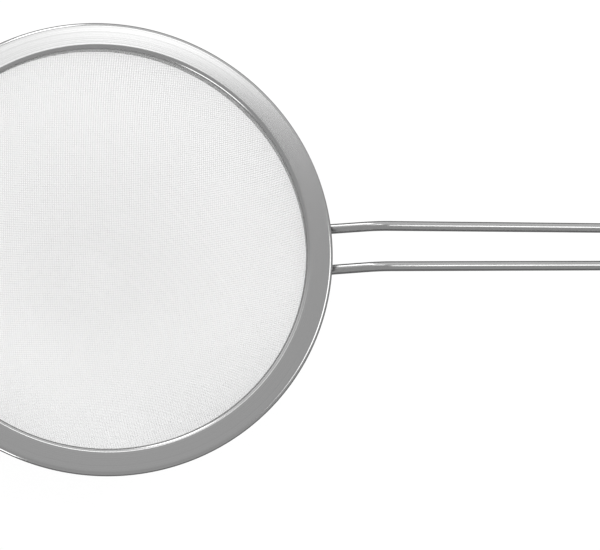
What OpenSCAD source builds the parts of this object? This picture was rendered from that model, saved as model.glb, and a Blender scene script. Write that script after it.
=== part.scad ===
// A kitchen sieve: a bowl of woven wire cloth in a wide sheet-steel rim, with a wire handle.
// Millimetres. The origin is the middle of the foot, the small flat at the bottom of the bowl.
// +Z runs up through the middle of the bowl and +X runs out along the handle.

/* [Rim] */
// Diameter of the rim, over its curled edge
rim_d = 180; // [150:1:220]
// Width of the rim, from its outside to the innermost point of its lip
rim_w = 10.6; // [9:0.1:13]
// Thickness of the sheet that the rim is pressed from
rim_t = 0.6; // [0.4:0.05:0.8]
// Outer radius of the curl that closes the sheet's outer edge
curl_r = 1.45; // [1.2:0.05:1.8]
// How far round the sheet is curled, in degrees
curl_turn = 255; // [220:5:265]
// Fall of the flat of the rim towards the bowl, in degrees
rim_fall = 5; // [0:0.5:8]
// Outer radius of the bend between the flat of the rim and its lip
lip_bend_r = 1.8; // [1.2:0.1:2.4]
// Depth of the lip's lower edge below the top of the rim
lip_h = 11.1; // [9:0.1:13]
// Flare of the lip, outwards and down, in degrees from upright
lip_flare = 13; // [4:0.5:16]

/* [Bowl] */
// Depth of the bowl, from the top of the rim down to the foot
bowl_h = 65; // [52:1:80]
// Thickness of the woven cloth, over both layers of wire
cloth_t = 0.5; // [0.3:0.05:0.8]
// How deep the bottom of the bowl is pressed flat to make the foot
foot_depth = 0.5; // [0.4:0.05:1]

/* [Clamp band] */
// Thickness of the band that pinches the cloth against the lip
band_t = 0.8; // [0.6:0.05:1.2]
// Depth of the upper edge of the band and the cloth below the top of the rim
band_top = 3.4; // [3:0.1:4]
// How far the band reaches down past the lip
band_drop = 1.1; // [0.6:0.1:2]
// Play between two pieces that are pressed together
seat_gap = 0.05; // [0.02:0.01:0.08]

/* [Handle] */
// Diameter of the handle's wire
wire_d = 4; // [3:0.1:4.4]
// Reach of the handle, from the outside of the rim to the end of its loop
handle_l = 185; // [120:1:240]
// Distance between the middles of the two legs at the outside of the rim
legs_at_rim = 16.8; // [13:0.1:24]
// Distance between the middles of the two legs where the end loop begins
legs_at_end = 15.5; // [11:0.1:20]
// Depth of the legs' middles below the top of the rim where they are welded
leg_low = 9.9; // [9:0.1:10.4]
// Depth of the legs' middles below the top of the rim along the handle
leg_high = 2.7; // [1.6:0.1:4]
// Climb of the legs between those two levels, in degrees
climb = 20.5; // [15:0.5:40]
// Bend radius of the wire at the lower end of the climb
low_bend_r = 10; // [7:0.5:14]
// Bend radius of the wire at the upper end of the climb
high_bend_r = 28; // [10:1:34]
// Distance from the outside of the rim to where the straight climb begins
climb_start = 1.8; // [1:0.1:6]
// Size of the weld's fillet round the end of each leg
weld_leg = 1.6; // [1:0.1:2]

/* [Hidden] */
$fn = 144;
rim_r = rim_d / 2;
wire_r = wire_d / 2;
// The rim's section is drawn with its radius along x and its height above the rim's top along y
curl_at = [rim_r - curl_r, -curl_r];
flat_up = [-sin(rim_fall), cos(rim_fall)];
flat_in = [-cos(rim_fall), -sin(rim_fall)];
flat_start = curl_at + curl_r * flat_up;
bend_x = rim_r - rim_w + lip_bend_r;
flat_l = (flat_start.x - lip_bend_r * flat_up.x - bend_x) / cos(rim_fall);
bend_at = flat_start + flat_l * flat_in - lip_bend_r * flat_up;
// Direction through the lip, away from the bowl
lip_out = [cos(lip_flare), sin(lip_flare)];
lip_start = bend_at - lip_bend_r * lip_out;
// Distances through the lip, from its face towards the bowl, to the layers behind it
cloth_in = rim_t + seat_gap;
cloth_out = cloth_in + cloth_t;
band_in = cloth_out + seat_gap;
band_out = band_in + band_t;
band_low = lip_h + band_drop;
// The cloth leaves the lip as part of a ball, cut flat at the foot
cloth_edge_r = on_lip(cloth_out, lip_h).x;
ball_h = bowl_h - lip_h + foot_depth;
ball_r = (cloth_edge_r * cloth_edge_r + ball_h * ball_h) / (2 * ball_h);
ball_at = [0, ball_r - foot_depth];
// The handle's levels are heights above the foot, and its lengths run from the outside of the rim
low_z = bowl_h - leg_low;
high_z = bowl_h - leg_high;
low_bend_x = climb_start - low_bend_r * sin(climb);
bends_rise = (low_bend_r + high_bend_r) * (1 - cos(climb));
climb_l = (high_z - low_z - bends_rise) / sin(climb);
climb_end = climb_start + climb_l * cos(climb);
high_bend_x = climb_end + high_bend_r * sin(climb);
loop_x = handle_l - wire_r - legs_at_end / 2;
taper = atan((legs_at_rim - legs_at_end) / 2 / loop_x);
loop_r = legs_at_end / 2 / cos(taper);
loop_middle_x = rim_r + loop_x - loop_r * sin(taper);
// How far inside the rim's outside each leg is drawn before the band trims it
leg_root = rim_w + lip_bend_r;
// Where a leg's middle meets the band
weld_x = sqrt(pow(on_lip(band_out, leg_low).x, 2) - pow(legs_at_rim / 2, 2));
// Steps along each arc of a section or a wire, and the sides of the wire
curl_steps = 24;
bend_steps = 8;
ball_steps = 40;
loop_steps = 20;
wire_sides = 20;
// Sides of a weld bead, and of the large round that trims the beads and the wire
bead_sides = 48;
core_sides = 360;

// A point at a distance through the lip and at a depth below the top of the rim
function on_lip(through, depth) =
    let (p = lip_start + through * lip_out)
    [p.x + (depth + p.y) * tan(lip_flare), -depth];

// Points along an arc, from one angle to another
function arc(centre, radius, from, to, steps) =
    [for (i = [0 : steps])
        let (a = from + (to - from) * i / steps)
        centre + radius * [cos(a), sin(a)]];

// A layer that lies along the lip, between two distances through it and two depths
module lip_layer(near, far, top, low) {
    polygon([on_lip(near, top), on_lip(near, low), on_lip(far, low), on_lip(far, top)]);
}

// The sheet's outer edge is curled under, its flat falls to the bowl, and its lip turns down
module rim_section() {
    curl_end = 90 + rim_fall - curl_turn;
    flat_a = 90 + rim_fall;
    lip_a = 180 + lip_flare;
    polygon(concat(
        arc(curl_at, curl_r, curl_end, flat_a, curl_steps),
        arc(bend_at, lip_bend_r, flat_a, lip_a, bend_steps),
        [on_lip(0, lip_h), on_lip(rim_t, lip_h)],
        arc(bend_at, lip_bend_r - rim_t, lip_a, flat_a, bend_steps),
        arc(curl_at, curl_r - rim_t, flat_a, curl_end, curl_steps)));
}

module rim() {
    color("silver")
        translate([0, 0, bowl_h])
            rotate_extrude()
                rim_section();
}

// Where a ball of this radius reaches a height above the foot, as an angle at the ball's middle
function ball_angle(radius, height) = asin((height - ball_at.y) / radius);

// The bowl is a thin shell, with its hem pinched between the lip and the clamp band
module bowl_section() {
    edge_z = bowl_h - lip_h;
    inner_r = ball_r - cloth_t;
    outside = arc(ball_at, ball_r, ball_angle(ball_r, 0), ball_angle(ball_r, edge_z), ball_steps);
    inside = arc(ball_at, inner_r, ball_angle(inner_r, edge_z), ball_angle(inner_r, cloth_t), ball_steps);
    hem = [on_lip(cloth_out, band_top), on_lip(cloth_in, band_top), on_lip(cloth_in, lip_h)];
    polygon(concat(
        [[0, 0]],
        outside,
        [for (p = hem) p + [0, bowl_h]],
        [for (i = [1 : ball_steps]) inside[i]],
        [[0, cloth_t]]));
}

module mesh_bowl() {
    color("gainsboro")
        rotate_extrude()
            bowl_section();
}

// A hoop of strip steel round the outside of the cloth's hem
module clamp_band() {
    color("darkgray")
        translate([0, 0, bowl_h])
            rotate_extrude()
                lip_layer(band_in, band_out, band_top, band_low);
}

// Everything inside the band's outer face, with a little play, over the band's height and more
module band_core(play) {
    far = band_out + play;
    above = band_top - wire_d;
    below = band_low + wire_d;
    translate([0, 0, bowl_h])
        rotate_extrude($fn = core_sides)
            polygon([[0, -above], on_lip(far, above), on_lip(far, below), [0, -below]]);
}

// A leg's middle line in its own upright plane: [distance out, height, slope]
function leg_line() = concat(
    [[-leg_root, low_z, 0]],
    [for (i = [0 : bend_steps])
        let (a = climb * i / bend_steps)
        [low_bend_x + low_bend_r * sin(a), low_z + low_bend_r * (1 - cos(a)), a]],
    [for (i = [bend_steps : -1 : 0])
        let (a = climb * i / bend_steps)
        [high_bend_x - high_bend_r * sin(a), high_z - high_bend_r * (1 - cos(a)), a]]);

// The same line in space: [point, direction], with the direction out along the leg
function leg_in_space(side) =
    [for (s = leg_line())
        [[rim_r + s[0] * cos(taper), side * (legs_at_rim / 2 - s[0] * sin(taper)), s[1]],
         [cos(s[2]) * cos(taper), -side * cos(s[2]) * sin(taper), sin(s[2])]]];

// The end loop, from one leg round to the other
function loop_line() =
    [for (i = [0 : loop_steps])
        let (a = (90 - taper) * (1 - 2 * i / loop_steps))
        [[loop_middle_x + loop_r * cos(a), loop_r * sin(a), high_z], [sin(a), -cos(a), 0]]];

// The way back along a line
function back(line) =
    [for (i = [len(line) - 1 : -1 : 0]) [line[i][0], -line[i][1]]];

// A ring of points round the wire, square to its direction
function wire_ring(at, along) =
    let (level = [along.y, -along.x, 0] / norm([along.x, along.y]),
         up = cross(level, along))
    [for (k = [0 : wire_sides - 1])
        let (a = 360 * k / wire_sides)
        at + wire_r * (cos(a) * level + sin(a) * up)];

// A round wire along a line of [point, direction]
module wire(line) {
    rings = [for (s = line) wire_ring(s[0], s[1])];
    last = len(line) - 1;
    polyhedron(
        points = [for (r = rings) each r],
        faces = concat(
            [[for (k = [0 : wire_sides - 1]) k]],
            [for (i = [0 : last - 1]) for (k = [0 : wire_sides - 1])
                let (a = i * wire_sides, b = a + wire_sides, n = (k + 1) % wire_sides)
                [a + k, b + k, b + n, a + n]],
            [[for (k = [wire_sides - 1 : -1 : 0]) last * wire_sides + k]]));
}

// One wire: a leg out, the end loop that the sieve hangs by, and the other leg back
module handle_wire() {
    color("silver")
        difference() {
            wire(concat(leg_in_space(1), loop_line(), back(leg_in_space(-1))));
            band_core(seat_gap);
        }
}

// A bead of weld metal round a leg's end, shaped to the band and level with its lower edge
module weld(side) {
    bore = wire_r + seat_gap;
    root = 3 * weld_leg;
    difference() {
        translate([weld_x, side * (legs_at_rim / 2 + (rim_r - weld_x) * tan(taper)), low_z])
            rotate([0, 90, -side * taper])
                rotate_extrude($fn = bead_sides)
                    intersection() {
                        union() {
                            translate([bore, 0])
                                circle(weld_leg, $fn = bead_sides);
                            translate([bore, -root])
                                square([weld_leg, root]);
                        }
                        translate([bore, -root])
                            square([weld_leg, root + weld_leg]);
                    }
        band_core(0);
        translate([0, -rim_r, -bowl_h])
            cube([rim_d, rim_d, 2 * bowl_h - band_low]);
    }
}

module handle_welds() {
    color("darkgray") {
        weld(1);
        weld(-1);
    }
}

rim();
mesh_bowl();
clamp_band();
handle_wire();
handle_welds();
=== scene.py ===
# %% [markdown]
# # A kitchen sieve
#
# A bowl of woven steel wire hangs in a wide rim of pressed sheet, and one long wire, bent into
# a loop, is its handle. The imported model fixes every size: it is loaded first, and each piece
# is then built again in finer detail in the same place. Lengths are written in millimetres, as
# on a workshop drawing, and one value turns them into Blender's metres.

from math import asin, atan, cos, pi, radians, sin, sqrt, tan

import bpy
import numpy as np
from mathutils import Matrix, Vector


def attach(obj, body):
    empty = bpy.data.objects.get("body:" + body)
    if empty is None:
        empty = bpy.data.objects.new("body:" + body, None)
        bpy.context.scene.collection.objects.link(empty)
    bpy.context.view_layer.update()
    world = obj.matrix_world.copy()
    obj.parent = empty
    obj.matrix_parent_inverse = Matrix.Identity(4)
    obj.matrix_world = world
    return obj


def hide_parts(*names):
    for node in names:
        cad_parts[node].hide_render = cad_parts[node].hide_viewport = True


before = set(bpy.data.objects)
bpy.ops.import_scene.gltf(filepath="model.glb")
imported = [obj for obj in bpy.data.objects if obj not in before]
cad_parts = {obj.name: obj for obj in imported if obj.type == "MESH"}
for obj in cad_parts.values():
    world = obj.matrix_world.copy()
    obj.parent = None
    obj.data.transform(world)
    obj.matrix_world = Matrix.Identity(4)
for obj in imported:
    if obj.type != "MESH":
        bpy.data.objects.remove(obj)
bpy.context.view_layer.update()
MM = 0.001

# %% [markdown]
# ## The sizes of the sieve
#
# The same driving sizes as in the CAD source. Everything else follows from them, so a piece
# that seats on another one uses the same values and meets it.

# %% Sizes in millimetres
RIM_R = 90.0
RIM_W = 10.6
SHEET_T = 0.6
CURL_R = 1.45
CURL_TURN = radians(255)
RIM_FALL = radians(5)
BEND_R = 1.8
LIP_H = 11.1
FLARE = radians(13)
BOWL_H = 65.0
CLOTH_T = 0.5
FOOT_DEPTH = 0.5
BAND_T = 0.8
BAND_TOP = 3.4
BAND_DROP = 1.1
SEAT_GAP = 0.05
WIRE_D = 4.0
HANDLE_L = 185.0
LEGS_AT_RIM = 16.8
LEGS_AT_END = 15.5
LEG_LOW = 9.9
LEG_HIGH = 2.7
CLIMB = radians(20.5)
LOW_BEND_R = 10.0
HIGH_BEND_R = 28.0
CLIMB_START = 1.8
WELD_LEG = 1.6

# %% [markdown]
# The rim's section is drawn with the distance from the bowl's middle line along x and the
# height above the foot along y. Every place on the lip is a distance through it and a depth.

# %% The rim's section: where its curl, its flat, its bend and its lip lie


def polar(radius, angle):
    return np.array([radius * cos(angle), radius * sin(angle)])


curl_at = np.array([RIM_R - CURL_R, BOWL_H - CURL_R])
flat_up = polar(1, pi / 2 + RIM_FALL)
flat_in = polar(1, pi + RIM_FALL)
flat_start = curl_at + CURL_R * flat_up
flat_l = (flat_start[0] - BEND_R * flat_up[0] - (RIM_R - RIM_W + BEND_R)) / cos(RIM_FALL)
bend_at = flat_start + flat_l * flat_in - BEND_R * flat_up
lip_out = polar(1, FLARE)
lip_start = bend_at - BEND_R * lip_out


def on_lip(through, depth):
    """A point at a distance through the lip and at a depth below the top of the rim."""
    start = lip_start + through * lip_out
    height = BOWL_H - depth
    return np.array([start[0] + (start[1] - height) * tan(FLARE), height])


cloth_in = SHEET_T + SEAT_GAP
band_in = cloth_in + CLOTH_T + SEAT_GAP
edge_r = on_lip(cloth_in + CLOTH_T, LIP_H)[0]
ball_h = BOWL_H - LIP_H + FOOT_DEPTH
ball_r = (edge_r**2 + ball_h**2) / (2 * ball_h)
ball_z = ball_r - FOOT_DEPTH
print(f"flat {flat_l:.2f} mm wide, ball radius {ball_r:.2f} mm, cloth's edge at radius {edge_r:.2f} mm")

# %% [markdown]
# ## Tools for making meshes
#
# Almost every piece here is a section carried along a path: round the bowl for the rim and the
# band, and along a wire for the handle and the cloth. One helper turns a grid of points into a
# mesh, closed across the section, and closed along the path or capped at its ends.

# %% A mesh from rings of points


def add_mesh(name, points, counts, corners):
    """A smooth mesh object from points in millimetres. Each face is its number of corners, and all
    the faces' corners follow one another in one list, which is quick for a hundred thousand faces."""
    mesh = bpy.data.meshes.new(name)
    mesh.vertices.add(len(points))
    mesh.vertices.foreach_set("co", (np.asarray(points, np.float32) * MM).ravel())
    mesh.loops.add(len(corners))
    mesh.loops.foreach_set("vertex_index", np.asarray(corners, np.int32))
    mesh.polygons.add(len(counts))
    starts = np.cumsum(counts) - counts
    mesh.polygons.foreach_set("loop_start", starts.astype(np.int32))
    mesh.polygons.foreach_set("use_smooth", np.full(len(counts), True))
    mesh.update(calc_edges=True)
    mesh.validate()
    made = bpy.data.objects.new(name, mesh)
    bpy.context.scene.collection.objects.link(made)
    print(f"{name}: {len(points)} points, {len(counts)} faces")
    return made


def add_faces(name, points, faces):
    """The same, from faces that are each a tuple of corners."""
    counts = np.array([len(face) for face in faces])
    return add_mesh(name, points, counts, [corner for face in faces for corner in face])


def tube_faces(rings, sides, closed):
    """Quads between rings of points, with an end face on each end unless the path is closed."""
    faces = []
    for i in range(rings if closed else rings - 1):
        a, b = i * sides, (i + 1) % rings * sides
        for k in range(sides):
            n = (k + 1) % sides
            faces.append((a + k, b + k, b + n, a + n))
    if not closed:
        faces.append(tuple(range(sides)))
        faces.append(tuple((rings - 1) * sides + k for k in range(sides - 1, -1, -1)))
    return faces


def arc(centre, radius, start, end, steps):
    """Points along an arc, both ends included."""
    return [centre + polar(radius, start + (end - start) * i / steps) for i in range(steps + 1)]


def revolve(name, section, steps):
    """A closed section, in (radius, height), carried once round the bowl's middle line."""
    points = []
    for i in range(steps):
        turn = 2 * pi * i / steps
        points += [(r * cos(turn), r * sin(turn), z) for r, z in section]
    return add_faces(name, points, tube_faces(steps, len(section), True))


# %% [markdown]
# ## The rim
#
# On the real sieve the rim is one ring of sheet. A press turns its inner edge down into a lip,
# and its outer edge is rolled under into a curl, so that no hand meets a cut edge. It could be
# a plain ring with bevels, but the curl and the tight bend at the lip catch every highlight, so
# the section is drawn as the sheet really runs, with both of its faces.

# %% Rim
CURL_STEPS = 40
BEND_STEPS = 16
ROUND_STEPS = 512
EDGE_ROUND = 0.12
# Flats get extra points close to their ends, so that a bend's shading doesn't spread over them
FLAT_SHARES = (0.02, 0.06, 0.2, 0.35, 0.5, 0.65, 0.8, 0.94, 0.98)


def along(a, b, shares):
    """Points between two points, at shares of the way."""
    return [a + (b - a) * s for s in shares]


def unit(vector):
    return vector / np.linalg.norm(vector)


def lip_edge():
    """The lip's cut edge, from its inner face to its outer one, with both corners rounded."""
    inner, outer = on_lip(0, LIP_H), on_lip(SHEET_T, LIP_H)
    up = unit(on_lip(0, 0) - inner) * EDGE_ROUND
    across = unit(outer - inner) * EDGE_ROUND
    return [
        inner + up, inner + (up + across) * 0.3, inner + across,
        outer - across, outer + (up - across) * 0.3, outer + up,
    ]


def sheet_section():
    """The sheet's outline: over the curl, the flat and the lip, and back on the other side."""
    flat_a = pi / 2 + RIM_FALL
    lip_a = pi + FLARE
    curl_end = flat_a - CURL_TURN
    top_curl = arc(curl_at, CURL_R, curl_end, flat_a, CURL_STEPS)
    top_bend = arc(bend_at, BEND_R, flat_a, lip_a, BEND_STEPS)
    low_bend = arc(bend_at, BEND_R - SHEET_T, lip_a, flat_a, BEND_STEPS)
    low_curl = arc(curl_at, CURL_R - SHEET_T, flat_a, curl_end, CURL_STEPS)
    edge = lip_edge()
    return (
        top_curl
        + along(top_curl[-1], top_bend[0], FLAT_SHARES)
        + top_bend
        + along(top_bend[-1], edge[0], FLAT_SHARES)
        + edge
        + along(edge[-1], low_bend[0], FLAT_SHARES)
        + low_bend
        + along(low_bend[-1], low_curl[0], FLAT_SHARES)
        + low_curl
    )


rim = revolve("rim_sheet", sheet_section(), ROUND_STEPS)

# %% [markdown]
# ## The clamp band
#
# The cloth is held between the lip and a hoop of strip steel that is squeezed round it. It
# hides under the rim from above, and shows as a bright ring from the side.

# %% Clamp band
BAND_ROUND = 0.2
ROUND_POINTS = 5
LONG_SHARES = (0.04, 0.5, 0.96)
band_far = band_in + BAND_T


def band_section():
    """A flat strip along the lip, with its long edges rounded."""
    low = LIP_H + BAND_DROP
    corners = [
        on_lip(band_in, BAND_TOP), on_lip(band_in, low),
        on_lip(band_far, low), on_lip(band_far, BAND_TOP),
    ]
    outline = []
    for i, corner in enumerate(corners):
        following = corners[(i + 1) % 4]
        before = unit(corners[i - 1] - corner) * BAND_ROUND
        after = unit(following - corner) * BAND_ROUND
        middle = corner + before + after
        # A quarter round from one edge to the next
        quarter = np.linspace(0, pi / 2, ROUND_POINTS)
        outline += [middle - after * cos(a) - before * sin(a) for a in quarter]
        if i % 2 == 0:
            outline += along(corner + after, following - after, LONG_SHARES)
    return outline


band = revolve("clamp_band_hoop", band_section(), ROUND_STEPS)

# %% [markdown]
# ## The handle
#
# One drawn steel wire runs out from the band, climbs past the rim in two soft bends, goes round
# a loop at the far end and comes back the same way. A curve with a bevel would do, but the
# bends have known radii, so the middle line is worked out arc by arc and a round section is
# carried along it. The ends sink into the band, so that no gap shows at the welds.

# %% Handle wire
WIRE_SIDES = 40
BEND_RINGS = 20
LOOP_RINGS = 48
wire_r = WIRE_D / 2
low_z = BOWL_H - LEG_LOW
high_z = BOWL_H - LEG_HIGH
low_bend_x = CLIMB_START - LOW_BEND_R * sin(CLIMB)
climb_l = (high_z - low_z - (LOW_BEND_R + HIGH_BEND_R) * (1 - cos(CLIMB))) / sin(CLIMB)
high_bend_x = CLIMB_START + climb_l * cos(CLIMB) + HIGH_BEND_R * sin(CLIMB)
loop_x = HANDLE_L - wire_r - LEGS_AT_END / 2
taper = atan((LEGS_AT_RIM - LEGS_AT_END) / 2 / loop_x)
loop_r = LEGS_AT_END / 2 / cos(taper)
loop_middle_x = RIM_R + loop_x - loop_r * sin(taper)
LEG_SINK = 0.8
root_x = on_lip(band_far, LEG_LOW)[0] - RIM_R - LEG_SINK


def leg_line():
    """A leg's middle line in its own upright plane: (distance out from the rim, height, slope)."""
    line = [(root_x, low_z, 0.0)]
    for i in range(BEND_RINGS + 1):
        a = CLIMB * i / BEND_RINGS
        line.append((low_bend_x + LOW_BEND_R * sin(a), low_z + LOW_BEND_R * (1 - cos(a)), a))
    for i in range(BEND_RINGS, -1, -1):
        a = CLIMB * i / BEND_RINGS
        line.append((high_bend_x - HIGH_BEND_R * sin(a), high_z - HIGH_BEND_R * (1 - cos(a)), a))
    return line


def leg_in_space(side):
    """The same line in space, as (point, direction), with the direction out along the leg."""
    return [
        (
            (RIM_R + s * cos(taper), side * (LEGS_AT_RIM / 2 - s * sin(taper)), z),
            (cos(a) * cos(taper), -side * cos(a) * sin(taper), sin(a)),
        )
        for s, z, a in leg_line()
    ]


def loop_line():
    """The end loop, from one leg round to the other."""
    line = []
    for i in range(LOOP_RINGS + 1):
        a = (pi / 2 - taper) * (1 - 2 * i / LOOP_RINGS)
        line.append(((loop_middle_x + loop_r * cos(a), loop_r * sin(a), high_z), (sin(a), -cos(a), 0)))
    return line


def sweep_round(name, line, radius, sides):
    """A round wire along a line of (point, direction)."""
    points = []
    for at, direction in line:
        level = unit(np.array([direction[1], -direction[0], 0.0]))
        up = np.cross(level, direction)
        for k in range(sides):
            a = 2 * pi * k / sides
            points.append(np.array(at) + radius * (cos(a) * level + sin(a) * up))
    return add_faces(name, points, tube_faces(len(line), sides, False))


back = [(at, tuple(-np.array(d))) for at, d in reversed(leg_in_space(-1))]
handle = sweep_round("handle_wire_drawn", leg_in_space(1) + loop_line() + back, wire_r, WIRE_SIDES)

# %% [markdown]
# ## The weld beads
#
# Each end of the wire is welded to the band. A bead of melted steel lies round it, highest
# against the wire and thin where it runs out on the band, with small ripples from the torch.
# It could be a plain ring, but its foot has to follow the round band, so each point on it is
# placed from the wire and the band together.

# %% Weld beads
BEAD_SIDES = 72
BEAD_STEPS = 10
BEAD_RIPPLE = 0.14
BEAD_LUMPS = 9
BEAD_SINK = 0.15
BEAD_LEAST = 0.15


def band_face_x(y, z):
    """How far out the band's outer face is, beside the handle."""
    r = on_lip(band_far, BOWL_H - z)[0]
    return sqrt(r * r - y * y)


def bead(side):
    """Rings of points round one leg's end: over the bead from the wire to the band, and inside."""
    middle_y = side * (LEGS_AT_RIM / 2 + (RIM_R - band_face_x(LEGS_AT_RIM / 2, low_z)) * tan(taper))
    band_low_z = BOWL_H - LIP_H - BAND_DROP
    points = []
    for i in range(BEAD_SIDES):
        turn = 2 * pi * i / BEAD_SIDES
        ripple = 1 + BEAD_RIPPLE * sin(BEAD_LUMPS * turn + side) * cos(2 * turn)
        leg = WELD_LEG * ripple
        # The band ends a little below the wire, so the bead is cut short there
        room = (low_z - band_low_z - 0.1) / max(0.2, -sin(turn)) - wire_r
        width = min(leg, max(BEAD_LEAST, room))
        for k in range(BEAD_STEPS + 1):
            a = pi / 2 * k / BEAD_STEPS
            reach = wire_r - BEAD_SINK + (width + BEAD_SINK) * sin(a)
            y = middle_y + reach * cos(turn)
            z = low_z + reach * sin(turn)
            out = (leg + BEAD_SINK) * cos(a) ** 1.2 - BEAD_SINK
            points.append((band_face_x(y, z) + out, y, z))
        inside_r = wire_r - 2 * BEAD_SINK
        y, z = middle_y + inside_r * cos(turn), low_z + inside_r * sin(turn)
        points.append((band_face_x(y, z) - 2 * BEAD_SINK, y, z))
    return points


bead_points = bead(1) + bead(-1)
ring_size = BEAD_STEPS + 2
one_bead = tube_faces(BEAD_SIDES, ring_size, True)
other_bead = [tuple(i + BEAD_SIDES * ring_size for i in face) for face in one_bead]
beads = add_faces("weld_beads", bead_points, one_bead + other_bead)

# %% [markdown]
# ## The woven cloth
#
# The bowl is a round of plain woven wire cloth, pressed over a ball. The wires don't stretch, but
# the square holes can lean into diamonds, as in a fishing net laid over a ball. So the net is
# built the way a net lies: two wires cross at the bottom of the bowl, and each next crossing is
# one pitch away from its two neighbours. A see-through texture on a thin shell would be lighter,
# but real wires give the true glitter, the shadows on the table and the patterns where the two
# sides of the bowl overlap.
#
# The real cloth has 0.25 mm wires at a pitch of about 0.6 mm, which is under two pixels here.
# The pitch is drawn as coarse as it needs to show, at 0.96 mm, and the wire keeps its real size.

# %% Net on a ball
PITCH = 0.96
STRAND_R = 0.125
HEM = LIP_H - BAND_TOP
WEAVE_TURN = radians(2.3)
cloth_r = ball_r - CLOTH_T / 2
edge_angle = asin(edge_r / ball_r)
last_angle = edge_angle + HEM / cos(FLARE) / cloth_r
STEPS = int(last_angle * cloth_r / PITCH) + 1


def net_on_ball(step, count):
    """Crossings of a net on a ball of radius 1, over a quarter of it, with the pole at (0, 0, 1)."""
    net = np.zeros((count + 1, count + 1, 3))
    angles = step * np.arange(count + 1)
    net[:, 0] = np.stack([np.sin(angles), 0 * angles, np.cos(angles)], 1)
    net[0, :] = np.stack([0 * angles, np.sin(angles), np.cos(angles)], 1)
    for total in range(2, 2 * count + 1):
        i = np.arange(max(1, total - count), min(count, total - 1) + 1)
        j = total - i
        # A new crossing mirrors the one behind it in the plane through its two neighbours
        a, b, behind = net[i - 1, j], net[i, j - 1], net[i - 1, j - 1]
        normal = np.cross(a, b)
        normal /= np.linalg.norm(normal, axis=1, keepdims=True)
        net[i, j] = behind - 2 * (behind * normal).sum(1, keepdims=True) * normal
    return net


quarter = net_on_ball(PITCH / cloth_r, STEPS)
polar_angle = np.arccos(np.clip(quarter[:, :, 2], -1, 1))
bearing = np.arctan2(quarter[:, :, 1], quarter[:, :, 0])
# Past the ball's own equator the net folds over itself, so each wire stops at its first way out
near = polar_angle <= last_angle
inside = np.cumprod(near, axis=0) * np.cumprod(near, axis=1) > 0
print(f"net of {STEPS} steps each way, hem up to {np.degrees(last_angle):.1f} degrees")

# %% [markdown]
# The net's places are turned into places on the real bowl: the ball with its flat foot, and then
# the hem, which follows the lip up between the sheet and the band.

# %% Places on the bowl


def on_bowl(angle, turn):
    """The middle of the cloth and the way out of it, at an angle from the bottom and a bearing."""
    past = np.maximum(angle - edge_angle, 0) * cloth_r
    angle = np.minimum(angle, edge_angle)
    r = cloth_r * np.sin(angle) - past * sin(FLARE)
    ball = ball_z - cloth_r * np.cos(angle)
    z = np.maximum(ball, CLOTH_T / 2) + past * cos(FLARE)
    # Past the ball the way out is the lip's, and on the foot it is straight down
    out_r = np.where(past > 0, cos(FLARE), np.where(ball < CLOTH_T / 2, 0, np.sin(angle)))
    out_z = np.where(past > 0, sin(FLARE), np.where(ball < CLOTH_T / 2, -1, -np.cos(angle)))
    at = np.stack([r * np.cos(turn), r * np.sin(turn), z], -1)
    out = np.stack([out_r * np.cos(turn), out_r * np.sin(turn), out_z], -1)
    return at, out


def four_quarters(here, other_x, other_y):
    """A grid over one quarter mirrored to all four. The functions say what a mirrored value is."""
    half = np.concatenate([other_x(here[:0:-1]), here], 0)
    return np.concatenate([other_y(half[:, :0:-1]), half], 1)


def unchanged(values):
    return values


angle = four_quarters(polar_angle, unchanged, unchanged)
kept = four_quarters(inside, unchanged, unchanged)
turn = four_quarters(bearing, lambda way: pi - way, lambda way: -way) + WEAVE_TURN
places, outs = on_bowl(angle, turn)
size = 2 * STEPS + 1
# +1 where the warp is outside and -1 where the weft is, as on a chessboard
parity = 1 - 2 * (np.add.outer(np.arange(size), np.arange(size)) % 2)
print(f"{int(kept.sum())} crossings on the whole bowl")

# %% [markdown]
# ## The wires of the cloth
#
# In a plain weave each wire goes over one and under the next. The wires along the handle are the
# warp and the ones across it are the weft. Each wire is a six-sided tube with one ring at each
# crossing, pushed out or in by its own radius, so two wires touch where they cross. The cloth is
# made as six objects, each small enough to be kept whole when the model is exported.

# %% Warp and weft wires
STRAND_SIDES = 6
GROUPS = 3


def lengths_to_one(vectors):
    return vectors / np.linalg.norm(vectors, axis=1, keepdims=True)


def strands(name, lines):
    """One object of many thin wires. Each line is (points, directions out of the cloth)."""
    rings, counts, corners, base = [], [], [], 0
    spin = 2 * pi * np.arange(STRAND_SIDES) / STRAND_SIDES
    k = np.arange(STRAND_SIDES)
    following = (k + 1) % STRAND_SIDES
    for at, out in lines:
        direction = lengths_to_one(np.gradient(at, axis=0))
        side = lengths_to_one(np.cross(direction, out))
        up = np.cross(side, direction)
        around = np.cos(spin)[:, None] * side[:, None] + np.sin(spin)[:, None] * up[:, None]
        rings.append((at[:, None] + STRAND_R * around).reshape(-1, 3))
        n = len(at)
        a = base + STRAND_SIDES * np.arange(n - 1)[:, None]
        b = a + STRAND_SIDES
        quads = np.stack([a + k, a + following, b + following, b + k], -1)
        last = base + (n - 1) * STRAND_SIDES
        corners += [quads.ravel(), base + k[::-1], last + k]
        counts += [4] * ((n - 1) * STRAND_SIDES) + [STRAND_SIDES] * 2
        base += n * STRAND_SIDES
    return add_mesh(name, np.concatenate(rings), np.array(counts), np.concatenate(corners))


def wire_lines(over):
    """Every wire of one direction, as (points, directions out), with its ups and downs.
    Over is 1 for the warp, which runs along the first index, and -1 for the weft."""
    woven = places + over * STRAND_R * parity[:, :, None] * outs
    grids = [woven, outs, kept]
    if over < 0:
        grids = [np.swapaxes(grid, 0, 1) for grid in grids]
    at, out, held = grids
    lines = []
    for j in range(size):
        run = np.flatnonzero(held[:, j])
        if len(run) > 2:
            whole = slice(run[0], run[-1] + 1)
            lines.append((at[whole, j], out[whole, j]))
    return lines


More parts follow.
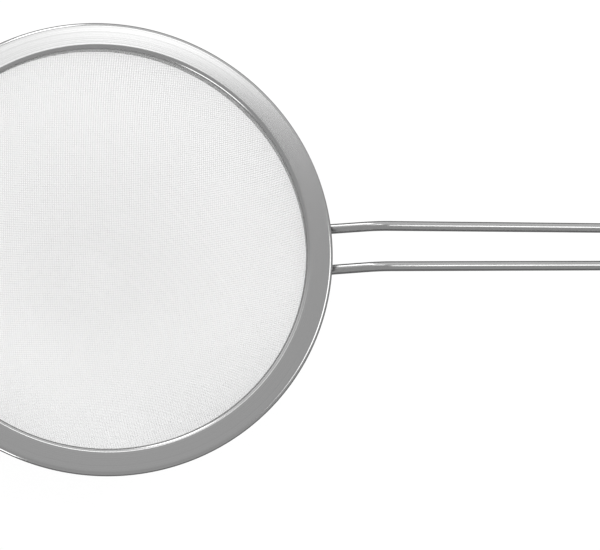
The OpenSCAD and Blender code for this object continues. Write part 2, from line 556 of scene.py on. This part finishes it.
cloth = []
for family, over in (("warp", 1), ("weft", -1)):
    lines = wire_lines(over)
    # Each group holds about the same number of crossings
    share = np.cumsum([len(at) for at, _ in lines])
    group = np.ceil(share / share[-1] * GROUPS - 1e-9)
    for part in range(1, GROUPS + 1):
        chosen = [line for line, g in zip(lines, group) if g == part]
        cloth.append(strands(f"cloth_{family}_{part}", chosen))

# %% [markdown]
# ## Colours and nodes
#
# Colours are written as on screen, in hex, and one function turns them into the linear values
# that the renderer works in. One small function adds a node with its settings and its links.

# %% Helpers for materials


def linear(hex_colour):
    """A screen colour such as C8C8C6 as linear red, green, blue and alpha."""
    values = [int(hex_colour[i : i + 2], 16) / 255 for i in (0, 2, 4)]
    return [v / 12.92 if v <= 0.04045 else ((v + 0.055) / 1.055) ** 2.4 for v in values] + [1.0]


def add_node(tree, kind, inputs=None, **settings):
    """A node with its settings. An input is a value, or the socket that feeds it."""
    node = tree.nodes.new(kind)
    for name, value in settings.items():
        setattr(node, name, value)
    for name, value in (inputs or {}).items():
        if isinstance(value, bpy.types.NodeSocket):
            tree.links.new(value, node.inputs[name])
        else:
            node.inputs[name].default_value = value
    return node


def new_material(name):
    material = bpy.data.materials.new(name)
    material.use_nodes = True
    material.node_tree.nodes.clear()
    return material, material.node_tree


# %% [markdown]
# ## The marks that making leaves
#
# Every piece is stainless steel, a neutral grey metal that mirrors a little over half of the
# light. What sets the pieces apart is how each surface was made, so each way of making has its
# own pattern. It needs no picture: noise in one direction gives lines, and noise in all
# directions gives lumps. The same pattern drives the gloss and a very low relief.

# %% Patterns of marks
DRAW_STRETCH = 30


def noise(tree, where, size_mm, **settings):
    """Noise with spots of a given size in millimetres."""
    inputs = {"W" if settings else "Vector": where, "Scale": 1 / (size_mm * MM), "Detail": 3.0}
    return add_node(tree, "ShaderNodeTexNoise", inputs, **settings).outputs["Fac"]


def ring_marks(tree, place, size_mm):
    """Lines round the bowl's middle, as a polishing wheel leaves on a turning rim."""
    parts = add_node(tree, "ShaderNodeSeparateXYZ", {"Vector": place})
    level = add_node(
        tree, "ShaderNodeCombineXYZ", {"X": parts.outputs["X"], "Y": parts.outputs["Y"]})
    radius = add_node(tree, "ShaderNodeVectorMath", {0: level.outputs[0]}, operation="LENGTH")
    across = add_node(
        tree, "ShaderNodeMath", {0: radius.outputs["Value"], 1: parts.outputs["Z"]}, operation="ADD")
    return noise(tree, across.outputs[0], size_mm, noise_dimensions="1D")


def draw_marks(tree, place, size_mm):
    """Lines along the handle, as the die leaves that the wire was drawn through."""
    stretched = add_node(
        tree, "ShaderNodeVectorMath", {0: place, 1: (1 / DRAW_STRETCH, 1, 1)}, operation="MULTIPLY")
    return noise(tree, stretched.outputs[0], size_mm)


def lumps(tree, place, size_mm):
    """Spots of one size in every direction, as on melted or pickled metal."""
    return noise(tree, place, size_mm)


# %% [markdown]
# ## Steel in five finishes
#
# - **Rim:** polished sheet. It is nearly a mirror, so its flat shows one tone of the room at a
#   time, and the fine rings only soften the edges of what it mirrors.
# - **Clamp band:** strip, as it comes from the rolling mill, greyer and duller than the rim.
# - **Handle:** drawn wire, bright, with lines along it that blur what it mirrors across it.
# - **Cloth:** fine wire, annealed and pickled after weaving. Its skin is pale and matt, and light
#   goes back and forth between the wires, so the cloth looks nearly white. The matt share is set
#   by a low metallic value.
# - **Welds:** melted metal, dull and lumpy, with a straw tint where it was hot.
#
# The drawing lines on the handle and the rings on the rim are 0.01 mm apart on the real sieve,
# too fine to show in a picture of this size. They are drawn as coarse as they need to show.

# %% Stainless steels
NOISE_LOW, NOISE_HIGH = 0.3, 0.7
CLOTH_METALLIC = 0.15


def steel(name, colours, roughness, spread, pattern, size_mm, relief_mm, metallic=1.0):
    """Stainless steel whose pattern of marks varies its colour, its gloss and its surface."""
    material, tree = new_material(name)
    place = add_node(tree, "ShaderNodeTexCoord").outputs["Object"]
    marks = pattern(tree, place, size_mm)
    share = add_node(
        tree, "ShaderNodeMapRange",
        {"Value": marks, "From Min": NOISE_LOW, "From Max": NOISE_HIGH},
    )
    colour = add_node(tree, "ShaderNodeMix", {"Factor": share.outputs["Result"]}, data_type="RGBA")
    # A mix node has hidden sockets of the same names for numbers, so its colours go by type
    for socket, hex_colour in zip((s for s in colour.inputs if s.type == "RGBA"), colours):
        socket.default_value = linear(hex_colour)
    gloss = add_node(
        tree, "ShaderNodeMapRange",
        {"Value": share.outputs["Result"], "To Min": roughness - spread, "To Max": roughness + spread},
    )
    relief = add_node(tree, "ShaderNodeBump", {"Height": marks, "Distance": relief_mm * MM})
    shader = add_node(
        tree, "ShaderNodeBsdfPrincipled",
        {"Base Color": next(s for s in colour.outputs if s.type == "RGBA"), "Metallic": metallic,
         "Roughness": gloss.outputs["Result"], "Normal": relief.outputs["Normal"]},
    )
    add_node(tree, "ShaderNodeOutputMaterial", {"Surface": shader.outputs["BSDF"]})
    return material


# Name, two greys to vary between, roughness and its spread, marks, their size and relief in mm
polished_sheet = steel(
    "polished_stainless_sheet", ("C6C6C6", "BEBEBE"), 0.14, 0.03, ring_marks, 0.7, 0.0015)
rolled_strip = steel(
    "rolled_stainless_strip", ("BCBCBC", "B0B0B0"), 0.28, 0.06, ring_marks, 0.5, 0.003)
drawn_wire = steel(
    "drawn_stainless_wire", ("C0C0C0", "B6B6B6"), 0.17, 0.04, draw_marks, 0.6, 0.003)
woven_wire = steel(
    "woven_stainless_wire", ("FAFAFA", "F4F4F4"), 0.45, 0.05, lumps, 0.8, 0.002, CLOTH_METALLIC)
weld_metal = steel(
    "melted_stainless_bead", ("A8A6A2", "8C7E6C"), 0.35, 0.1, lumps, 0.9, 0.03)

# %% Each piece gets its finish and its place in the model
finishes = [
    (rim, "rim", "rim_steel", polished_sheet),
    (band, "clamp_band", "band_steel", rolled_strip),
    (handle, "handle_wire", "handle_steel", drawn_wire),
    (beads, "handle_welds", "weld_metal", weld_metal),
] + [(piece, "mesh_bowl", "wire_cloth", woven_wire) for piece in cloth]
for piece, node, slot, material in finishes:
    piece.data.materials.append(material)
    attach(piece, "root")
    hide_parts(node)
print("pieces:", [piece.name for piece, *_ in finishes])

# %% [markdown]
# ## Table
#
# The sieve stands on a plain white table. Most of the table's white is a glow that only the
# camera sees, and the rest is real paper grey that the lamps light, which keeps the sieve's
# shadow. Metal mirrors only the paper, so the undersides of the wires stay dark, as they are
# in the photograph.

# %% Table
TABLE_SIZE = 6.0
TABLE_GLOW = 0.81
PAPER = (0.2, 0.2, 0.2, 1)
WHITE = (1, 1, 1, 1)
half = TABLE_SIZE / 2
table_mesh = bpy.data.meshes.new("table")
table_mesh.from_pydata(
    [(-half, -half, 0), (half, -half, 0), (half, half, 0), (-half, half, 0)], [], [(0, 1, 2, 3)])
table = bpy.data.objects.new("table", table_mesh)
bpy.context.scene.collection.objects.link(table)
material, tree = new_material("white_table")
path = add_node(tree, "ShaderNodeLightPath")
glow = add_node(
    tree, "ShaderNodeMath", {0: path.outputs["Is Camera Ray"], 1: TABLE_GLOW}, operation="MULTIPLY")
emission = add_node(tree, "ShaderNodeEmission", {"Color": WHITE, "Strength": glow.outputs[0]})
paper = add_node(tree, "ShaderNodeBsdfDiffuse", {"Color": PAPER})
both = add_node(tree, "ShaderNodeAddShader", {0: emission.outputs[0], 1: paper.outputs[0]})
add_node(tree, "ShaderNodeOutputMaterial", {"Surface": both.outputs[0]})
table_mesh.materials.append(material)
print(f"table {TABLE_SIZE:.0f} m wide")

# %% [markdown]
# ## Room
#
# Polished steel shows its surroundings more than itself. The walls that the metal mirrors are
# a middle grey, and lighter on the far side, where the photograph's handle is lighter too.
# Everything else, such as the camera and matt surfaces, sees a white room.

# %% Room
DARK_SIDE = 0.47
LIGHT_SIDE = 0.85
LIGHT_FROM, LIGHT_TO = 0.1, 0.7
ROOM_LIGHT = 1.0
world = bpy.data.worlds.new("studio")
bpy.context.scene.world = world
world.use_nodes = True
tree = world.node_tree
tree.nodes.clear()
way = add_node(tree, "ShaderNodeTexCoord").outputs["Generated"]
parts = add_node(tree, "ShaderNodeSeparateXYZ", {"Vector": way})
walls = add_node(
    tree, "ShaderNodeMapRange",
    {"Value": parts.outputs["Y"], "From Min": LIGHT_FROM, "From Max": LIGHT_TO,
     "To Min": DARK_SIDE, "To Max": LIGHT_SIDE},
    interpolation_type="SMOOTHSTEP",
)
mirrored = add_node(
    tree, "ShaderNodeBackground", {"Color": WHITE, "Strength": walls.outputs["Result"]})
white = add_node(tree, "ShaderNodeBackground", {"Color": WHITE, "Strength": ROOM_LIGHT})
path = add_node(tree, "ShaderNodeLightPath")
mix = add_node(
    tree, "ShaderNodeMixShader",
    {0: path.outputs["Is Glossy Ray"], 1: white.outputs[0], 2: mirrored.outputs[0]},
)
add_node(tree, "ShaderNodeOutputWorld", {"Surface": mix.outputs[0]})

# %% [markdown]
# ## Soft boxes
#
# Five rectangular lamps make the highlights. Each was placed from one highlight in the
# photograph: a mirror's normal and the camera fix the direction that it shows.
#
# - **Far box:** the white part of the rim's flat, on the far side.
# - **Far left box:** the paler stretch to the left of it.
# - **Window box:** the white line along the near side of the lip.
# - **Handle box:** the narrow white line along each leg of the handle.
# - **Near left box:** the white line along the far side of the lip.

# %% Soft boxes
BOX_HEIGHT = 0.565


def soft_box(name, at, aim, width, height, radiance):
    """A rectangular lamp that faces a point. Its power follows from its brightness and size."""
    lamp = bpy.data.lights.new(name, "AREA")
    lamp.shape = "RECTANGLE"
    lamp.size, lamp.size_y = width, height
    lamp.energy = radiance * pi * width * height
    box = bpy.data.objects.new(name, lamp)
    box.location = at
    box.rotation_mode = "QUATERNION"
    box.rotation_quaternion = (Vector(aim) - Vector(at)).to_track_quat("-Z", "Y")
    box.visible_camera = False
    bpy.context.scene.collection.objects.link(box)
    print(f"{name}: {width} by {height} m")


def overhead_box(name, x, y, width, height, radiance):
    """A soft box that hangs over a place and faces straight down."""
    soft_box(name, (x, y, BOX_HEIGHT), (x, y, 0), width, height, radiance)


overhead_box("far_box", 0.095, 0.215, 0.09, 0.13, 1.8)
overhead_box("far_left_box", 0.01, 0.17, 0.08, 0.07, 1.1)
soft_box("window_box", (-0.06, 0.60, 0.45), (-0.06, 0, 0.45), 0.16, 0.60, 2.2)
overhead_box("handle_box", 0.44, 0.02, 0.38, 0.22, 2.0)
soft_box("near_left_box", (-0.36, -0.50, 0.17), (0, 0, 0.065), 0.30, 0.32, 2.2)

# %% [markdown]
# ## Camera
#
# The photograph looks down on the sieve from 0.77 m, a little from the near left. The rim's ellipse
# and the handle's perspective give the place and the direction.

# %% Camera
CAMERA_AT = Vector((-88.74, -153.64, 765.44)) * MM
CAMERA_BACK = Vector((-0.22447, -0.19256, 0.95526)).normalized()
CAMERA_RIGHT = Vector((0.97448, -0.04456, 0.22000))
LENS = 111.18
SENSOR = 36
camera_data = bpy.data.cameras.new("camera")
camera_data.lens = LENS
camera_data.sensor_width = SENSOR
camera_data.clip_start, camera_data.clip_end = 0.05, 20
camera = bpy.data.objects.new("camera", camera_data)
bpy.context.scene.collection.objects.link(camera)
right = (CAMERA_RIGHT - CAMERA_RIGHT.dot(CAMERA_BACK) * CAMERA_BACK).normalized()
turned = Matrix((right, CAMERA_BACK.cross(right), CAMERA_BACK)).transposed().to_4x4()
camera.matrix_world = Matrix.Translation(CAMERA_AT) @ turned
bpy.context.scene.camera = camera
bpy.context.scene.view_settings.view_transform = "Standard"
print(f"camera {CAMERA_AT.length:.3f} m from the foot, lens {LENS} mm")
